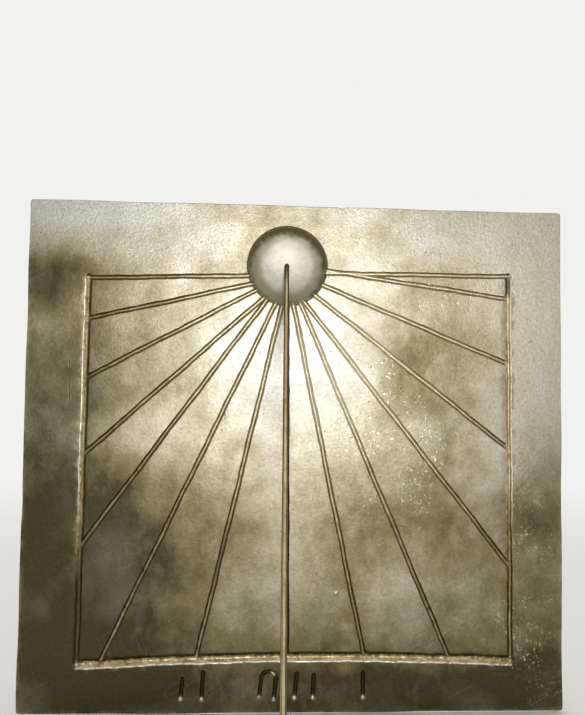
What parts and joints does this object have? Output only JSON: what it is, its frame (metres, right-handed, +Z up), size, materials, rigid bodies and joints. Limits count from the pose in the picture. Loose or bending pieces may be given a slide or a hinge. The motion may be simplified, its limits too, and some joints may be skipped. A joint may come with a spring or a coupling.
{
  "type": "wall sundial",
  "caption": "Near-square metal wall sundial: sunk sun dish, engraved hour lines in a frame, slanting rod gnomon, and wall studs with spacer tubes behind the plate.",
  "frame": {"origin": "on the face of the wall, at the centre of the rectangle of the four wall studs", "axes": "+X to the right as the dial is read, +Y into the wall, +Z up"},
  "size_m": [0.32, 0.2502, 0.299],
  "materials": {
    "silvered_brass": "silvered brass, cloudy and lightly scratched, with bare brass in the engraved lines",
    "gnomon_brass": "drawn brass rod, lightly tarnished",
    "fitting_brass": "turned brass, dull from weather"
  },
  "bodies": {
    "root": {"dial_plate": "silvered_brass", "sun_dish": "silvered_brass", "gnomon_rod": "gnomon_brass", "gnomon_socket": "fitting_brass", "gnomon_washer": "fitting_brass", "gnomon_nut": "fitting_brass", "stud_pad_top_left": "fitting_brass", "stud_pad_top_right": "fitting_brass", "stud_pad_bottom_left": "fitting_brass", "stud_pad_bottom_right": "fitting_brass", "wall_stud_top_left": "fitting_brass", "wall_stud_top_right": "fitting_brass", "wall_stud_bottom_left": "fitting_brass", "wall_stud_bottom_right": "fitting_brass", "stud_nut_top_left": "fitting_brass", "stud_nut_top_right": "fitting_brass", "stud_nut_bottom_left": "fitting_brass", "stud_nut_bottom_right": "fitting_brass", "spacer_tube_top_left": "fitting_brass", "spacer_tube_top_right": "fitting_brass", "spacer_tube_bottom_left": "fitting_brass", "spacer_tube_bottom_right": "fitting_brass"}
  },
  "joints": []
}
